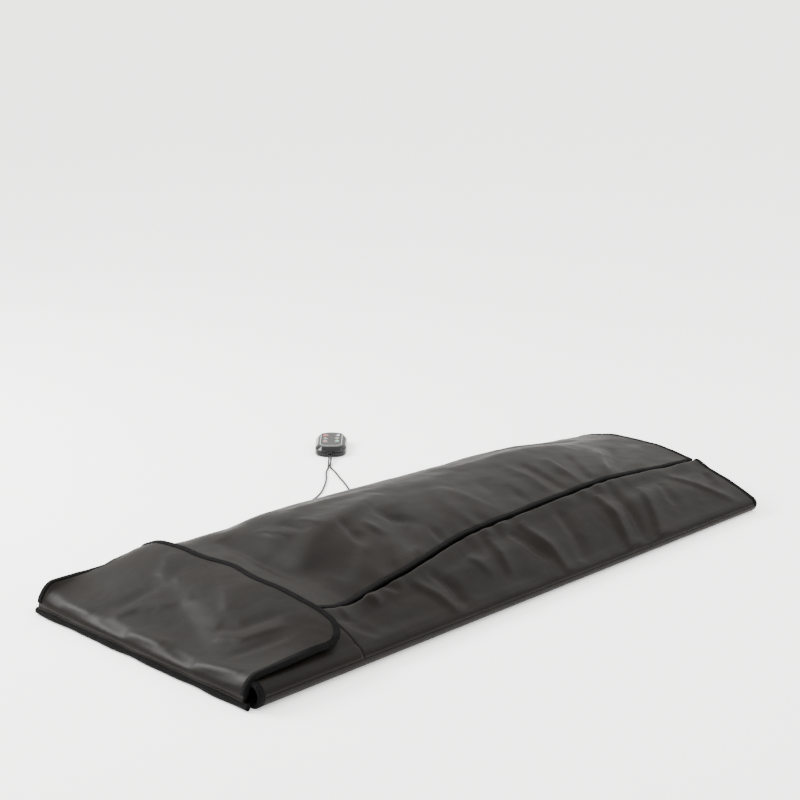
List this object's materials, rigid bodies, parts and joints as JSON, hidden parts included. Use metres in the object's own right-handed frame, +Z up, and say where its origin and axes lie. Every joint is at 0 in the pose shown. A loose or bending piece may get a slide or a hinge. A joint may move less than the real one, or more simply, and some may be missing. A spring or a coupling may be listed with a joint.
{
  "type": "infrared sauna blanket",
  "caption": "Padded infrared sauna blanket with side-opening top panels, a foot pocket under a folding flap, and a wired hand controller beside it.",
  "frame": {"origin": "middle of the blanket's underside, on the floor", "axes": "+X from the foot end to the head opening, +Y to the far long side, +Z up"},
  "size_m": [1.8074, 1.3204, 0.1762],
  "materials": {
    "cover": "satin coated polyurethane leather",
    "lining": "smooth wipe-clean coated lining",
    "insulation": "needled polyester felt",
    "heater": "woven carrier with carbon heating wire",
    "binding": "ribbed polyester binding tape",
    "tape": "hook and loop tape",
    "shell": "polished moulding",
    "overlay": "printed acrylic",
    "display": "tinted window",
    "lamp": "clear lens",
    "board": "solder resist",
    "device": "moulded",
    "steel": "plated",
    "cable": "smooth sheath"
  },
  "bodies": {
    "base": {"base_foot_binding": "binding", "base_head_binding": "binding", "base_heating_mat": "heater", "base_inner_lining": "lining", "base_insulation": "insulation", "base_outer_cover": "cover", "blanket_lead": "cable", "cable_entry": "cable", "case_screw_1": "steel", "case_screw_2": "steel", "case_screw_3": "steel", "case_screw_4": "steel", "circuit_board": "board", "control_overlay": "overlay", "controller_front_case": "shell", "controller_rear_case": "shell", "display_temp": "display", "display_time": "display", "flap_loop_patch_far": "tape", "flap_loop_patch_near": "tape", "foot_gusset": "cover", "foot_pocket_inner_lining": "lining", "foot_pocket_insulation": "insulation", "foot_pocket_outer_cover": "cover", "key_switch_power": "device", "key_switch_start": "device", "key_switch_temp": "device", "key_switch_time": "device", "mains_coil": "cable", "mains_lead": "cable", "mains_plug": "cable", "relay": "device", "start_lamp": "lamp", "strain_relief": "cable", "temperature_sensor": "steel", "thermal_cutout": "device", "transformer": "device"},
    "far_panel": {"closure_hook_tape": "tape", "far_panel_edge_binding": "binding", "far_panel_head_binding": "binding", "far_panel_heating_mat": "heater", "far_panel_inner_lining": "lining", "far_panel_insulation": "insulation", "far_panel_outer_cover": "cover"},
    "near_panel": {"closure_loop_tape": "tape", "near_panel_head_binding": "binding", "near_panel_heating_mat": "heater", "near_panel_inner_lining": "lining", "near_panel_insulation": "insulation", "near_panel_outer_cover": "cover"},
    "foot_flap": {"flap_hook_patch_far": "tape", "flap_hook_patch_near": "tape", "foot_flap_binding": "binding", "foot_flap_inner_lining": "lining", "foot_flap_insulation": "insulation", "foot_flap_outer_cover": "cover"},
    "key_temp": {"key_temp": "overlay"},
    "key_time": {"key_time": "overlay"},
    "key_power": {"key_power": "overlay"},
    "key_start": {"key_start": "overlay"}
  },
  "joints": [
    {"name": "far_panel_hinge", "type": "hinge", "parent": "base", "child": "far_panel", "pos_m": [0, 0.37, 0.025], "axis": [-0.9994, 0.0333, 0.0056], "range_deg": [0, 120]},
    {"name": "near_panel_hinge", "type": "hinge", "parent": "base", "child": "near_panel", "pos_m": [0, -0.37, 0.025], "axis": [0.9994, 0.0333, -0.0056], "range_deg": [0, 120]},
    {"name": "foot_flap_hinge", "type": "hinge", "parent": "base", "child": "foot_flap", "pos_m": [-0.9, 0, 0.04], "axis": [0, -1, 0], "range_deg": [0, 160]},
    {"name": "key_temp_press", "type": "slide", "parent": "base", "child": "key_temp", "axis": [0, 0, -1], "range_m": [0, 0.0004], "stiffness_N_per_m": 3000},
    {"name": "key_time_press", "type": "slide", "parent": "base", "child": "key_time", "axis": [0, 0, -1], "range_m": [0, 0.0004], "stiffness_N_per_m": 3000},
    {"name": "key_power_press", "type": "slide", "parent": "base", "child": "key_power", "axis": [0, 0, -1], "range_m": [0, 0.0004], "stiffness_N_per_m": 3000},
    {"name": "key_start_press", "type": "slide", "parent": "base", "child": "key_start", "axis": [0, 0, -1], "range_m": [0, 0.0004], "stiffness_N_per_m": 3000}
  ],
  "couplings": [
    {"joint": "near_panel_hinge", "follows": "far_panel_hinge", "ratio": 1}
  ]
}
